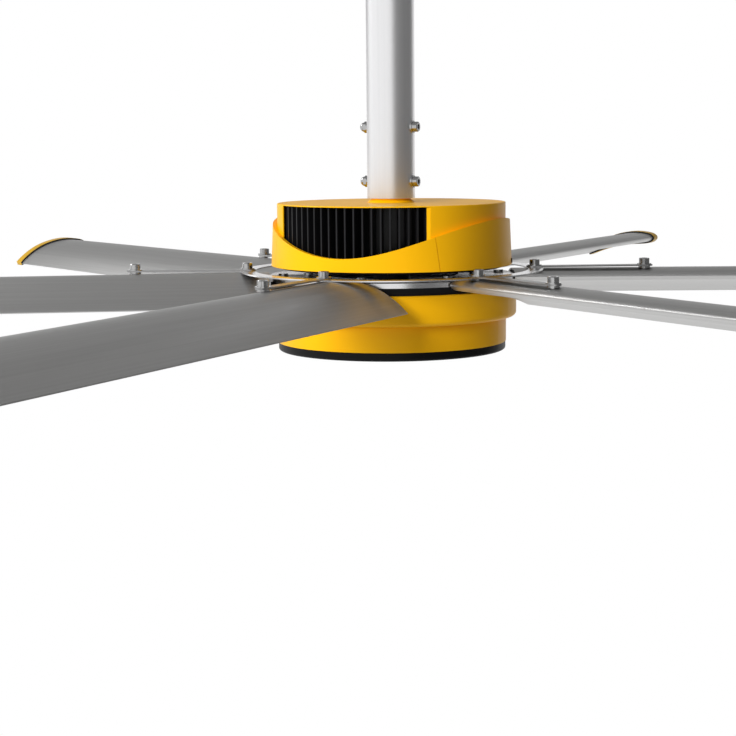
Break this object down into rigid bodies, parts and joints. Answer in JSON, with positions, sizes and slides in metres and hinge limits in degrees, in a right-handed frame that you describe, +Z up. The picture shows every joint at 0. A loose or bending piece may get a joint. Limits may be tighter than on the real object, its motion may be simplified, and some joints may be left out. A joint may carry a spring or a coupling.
{
  "type": "industrial ceiling fan",
  "caption": "Large slow ceiling fan with a yellow direct-drive motor hub, finned heat sink, downrod and long aluminium blades tied together by a ring.",
  "frame": {"origin": "centre of the ceiling plate's top face", "axes": "+Z up along the downrod and the rotor axis, +X along the cross bolts' axis, the windows face -Y and +Y"},
  "size_m": [2.4326, 2.7016, 0.893],
  "materials": {
    "dark_steel": "powder coated",
    "satin_tube": "satin anodised",
    "stainless": "turned",
    "yellow_paint": "satin powder coat",
    "black_rubber": "matt",
    "machined_steel": "turned",
    "black_anodised": "black anodised",
    "circuit_board": "solder mask",
    "black_paint": "satin",
    "black_screw": "blackened",
    "lamination": "stacked sheet",
    "copper": "enamelled wire",
    "cast_aluminium": "as cast",
    "magnet": "nickel plated",
    "hub_silver": "machined",
    "black_plastic": "moulded",
    "blade_aluminium": "satin anodised extrusion",
    "tip_yellow": "moulded"
  },
  "bodies": {
    "frame": {"ceiling_bracket": "dark_steel", "downrod": "satin_tube", "cross_bolts": "stainless", "cross_nuts": "stainless", "cross_washers": "stainless", "motor_spigot": "yellow_paint", "neck_collar": "yellow_paint", "spigot_bolts": "stainless", "cable_grommet": "black_rubber", "motor_shaft": "machined_steel", "heat_sink": "black_anodised", "drive_board": "circuit_board", "top_cover": "yellow_paint", "base_plate": "black_paint", "front_skirt": "yellow_paint", "right_skirt": "yellow_paint", "rear_skirt": "yellow_paint", "left_skirt": "yellow_paint", "skirt_screws": "black_screw", "upper_bearing": "machined_steel", "lower_bearing": "machined_steel", "stator_core": "lamination", "stator_windings": "copper", "stator_carrier": "cast_aluminium", "shaft_locknut": "machined_steel"},
    "rotor": {"magnets": "magnet", "shaft_seal": "black_rubber", "hub_plate": "black_paint", "hub_ring": "hub_silver", "hub_bolts": "stainless", "rotor_housing": "yellow_paint", "bottom_cap": "black_plastic", "bottom_cap_screws": "black_screw", "tie_ring": "hub_silver", "blade_bolts": "stainless", "blade_washers": "stainless", "blade_arm_1": "machined_steel", "blade_arm_2": "machined_steel", "blade_arm_3": "machined_steel", "blade_arm_4": "machined_steel", "blade_arm_5": "machined_steel", "blade_arm_6": "machined_steel", "blade_1": "blade_aluminium", "blade_2": "blade_aluminium", "blade_3": "blade_aluminium", "blade_4": "blade_aluminium", "blade_5": "blade_aluminium", "blade_6": "blade_aluminium", "tip_cap_1": "tip_yellow", "tip_cap_2": "tip_yellow", "tip_cap_3": "tip_yellow", "tip_cap_4": "tip_yellow", "tip_cap_5": "tip_yellow", "tip_cap_6": "tip_yellow", "blade_strut_1": "hub_silver", "blade_strut_2": "hub_silver", "blade_strut_3": "hub_silver", "blade_strut_4": "hub_silver", "blade_strut_5": "hub_silver", "blade_strut_6": "hub_silver"}
  },
  "joints": [
    {"name": "rotor_spin", "type": "hinge", "parent": "frame", "child": "rotor", "pos_m": [0, 0, -0.76], "axis": [0, 0, 1], "continuous": true}
  ]
}
